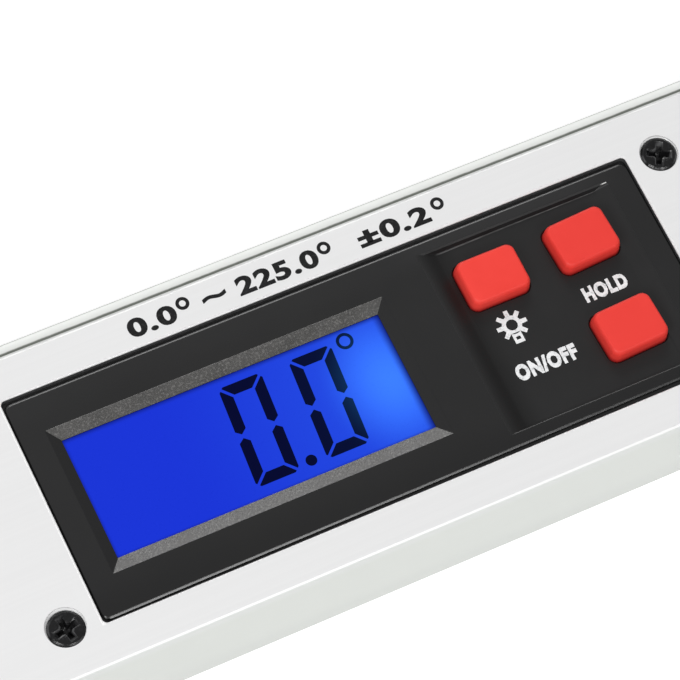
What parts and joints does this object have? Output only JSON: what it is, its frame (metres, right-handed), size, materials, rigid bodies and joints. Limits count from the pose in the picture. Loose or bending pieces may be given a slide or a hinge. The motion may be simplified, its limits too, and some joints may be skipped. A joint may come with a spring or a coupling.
{
  "type": "digital angle finder",
  "caption": "Digital angle finder: a hollow base arm with a display module and spirit vials, and a folding arm on a locking pivot that opens past a straight line.",
  "frame": {"origin": "under the middle of the closed tool, on the flat back that it lies on", "axes": "+X along the closed arms from the pivot to the free ends, +Y from the base arm's measuring face to the folding arm, +Z out of the display face"},
  "size_m": [0.4256, 0.0512, 0.0349],
  "materials": {
    "painted_aluminium": "satin painted extrusion",
    "satin_aluminium": "satin anodised",
    "black_plastic": "fine moulded grain",
    "bezel_plastic": "fine moulded grain",
    "black_steel": "black oxide",
    "steel": "turned",
    "bronze": "sintered",
    "brass": "turned",
    "nylon": "smooth",
    "circuit_board": "solder mask",
    "ribbon_film": "film",
    "screen_blue": "backlit screen",
    "light_guide": "diffusing",
    "red_plastic": "satin moulded",
    "cell_jacket": "printed jacket",
    "lead_insulation": "smooth",
    "clear_acrylic": "polished",
    "vial_liquid": "clear tinted"
  },
  "bodies": {
    "base": {"base_arm": "painted_aluminium", "base_end_cap": "black_plastic", "end_cap_screws": "black_steel", "hub_bulkhead": "black_plastic", "pivot_axle": "steel", "rear_friction_washer": "nylon", "front_friction_washer": "nylon", "sensor_stator": "circuit_board", "sensor_ribbon": "ribbon_film", "knob_washer": "steel", "display_bezel": "bezel_plastic", "screen": "screen_blue", "backlight": "light_guide", "main_board": "circuit_board", "button_switches": "black_plastic", "module_back": "black_plastic", "module_screws": "steel", "face_screws": "black_steel", "battery_box": "black_plastic", "batteries": "cell_jacket", "battery_contacts": "steel", "battery_leads": "lead_insulation", "level_frame": "black_plastic", "level_vial": "clear_acrylic", "level_liquid": "vial_liquid", "plumb_frame": "black_plastic", "plumb_vial": "clear_acrylic", "plumb_liquid": "vial_liquid"},
    "folding_arm": {"folding_arm": "satin_aluminium", "folding_arm_end_cap": "black_plastic", "arm_knuckle": "satin_aluminium", "knuckle_bushing": "bronze", "knuckle_screws": "steel", "sensor_rotor": "circuit_board"},
    "lock_knob": {"lock_knob": "black_plastic", "knob_insert": "brass", "knob_cap": "satin_aluminium"},
    "light_button": {"light_button": "red_plastic"},
    "hold_button": {"hold_button": "red_plastic"},
    "power_button": {"power_button": "red_plastic"},
    "battery_door": {"battery_door": "black_plastic"}
  },
  "joints": [
    {"name": "arm_hinge", "type": "hinge", "parent": "base", "child": "folding_arm", "pos_m": [-0.1872, 0, 0.0108], "axis": [0, 0, 1], "range_deg": [0, 225]},
    {"name": "knob_turn", "type": "hinge", "parent": "base", "child": "lock_knob", "pos_m": [-0.1872, 0, 0.0216], "axis": [0, 0, 1], "range_deg": [0, 270]},
    {"name": "light_press", "type": "slide", "parent": "base", "child": "light_button", "axis": [0, 0, -1], "range_m": [0, 0.0008], "stiffness_N_per_m": 600, "springref_m": -0.0005},
    {"name": "hold_press", "type": "slide", "parent": "base", "child": "hold_button", "axis": [0, 0, -1], "range_m": [0, 0.0008], "stiffness_N_per_m": 600, "springref_m": -0.0005},
    {"name": "power_press", "type": "slide", "parent": "base", "child": "power_button", "axis": [0, 0, -1], "range_m": [0, 0.0008], "stiffness_N_per_m": 600, "springref_m": -0.0005},
    {"name": "door_hinge", "type": "hinge", "parent": "base", "child": "battery_door", "pos_m": [0.04217, -0.00275, 0.00108], "axis": [0, -1, 0], "range_deg": [0, 75]}
  ]
}
